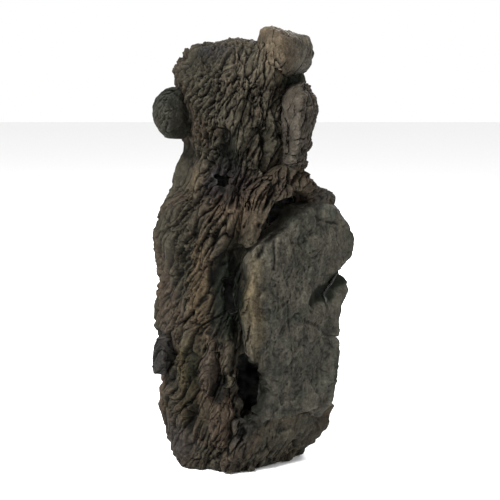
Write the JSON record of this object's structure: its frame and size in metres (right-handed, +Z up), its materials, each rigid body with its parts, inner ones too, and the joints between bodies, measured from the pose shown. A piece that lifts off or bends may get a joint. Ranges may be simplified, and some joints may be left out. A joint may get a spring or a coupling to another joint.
{
  "type": "cave ornament",
  "caption": "Tall craggy rock tower with a smooth side slab, overhanging head and hollow inside, a hiding cave for fish that stands on the floor of a tank.",
  "frame": {"origin": "under the middle of the tower's box, on the face it stands on", "axes": "+Z up, -Y towards the front with the mouths, +X to the right seen from the front, towards the smooth slab"},
  "size_m": [0.1786, 0.125, 0.38],
  "materials": {
    "craggy_resin": "matt painted polyresin, dark brown-grey, dry-brushed",
    "ridge_resin": "matt painted polyresin, reddish brown, dry-brushed",
    "slab_resin": "matt painted polyresin, greenish grey",
    "crown_resin": "matt painted polyresin, tan grey",
    "boulder_resin": "matt painted polyresin, pale grey",
    "dark_boulder_resin": "matt painted polyresin, dark grey",
    "shard_resin": "matt painted polyresin, pinkish tan",
    "plate_resin": "unpainted dark polyresin",
    "pad_foam": "black closed-cell sheet",
    "ballast_stone": "plain cement mortar",
    "fibre_rod": "cut glass-fibre rod"
  },
  "bodies": {
    "root": {"back_shell": "craggy_resin", "ballast_block": "ballast_stone", "base_pad": "pad_foam", "base_plate": "plate_resin", "cleft_shard": "shard_resin", "cleft_shard_rod": "fibre_rod", "crown_block": "crown_resin", "crown_rods": "fibre_rod", "edge_flake": "slab_resin", "flake_rod": "fibre_rod", "flank_stone": "dark_boulder_resin", "flank_stone_rod": "fibre_rod", "front_shell": "craggy_resin", "head_block": "craggy_resin", "head_rods": "fibre_rod", "knob_boulder": "dark_boulder_resin", "knob_rod": "fibre_rod", "neck_boulder": "boulder_resin", "neck_boulder_rod": "fibre_rod", "plinth": "craggy_resin", "plinth_rods": "fibre_rod", "seam_rods": "fibre_rod", "shoulder_arch": "ridge_resin", "shoulder_rods": "fibre_rod", "side_slab": "slab_resin", "slab_rods": "fibre_rod", "slim_shard": "shard_resin", "slim_shard_rod": "fibre_rod", "toe_stone": "shard_resin", "toe_stone_rod": "fibre_rod"}
  },
  "joints": []
}
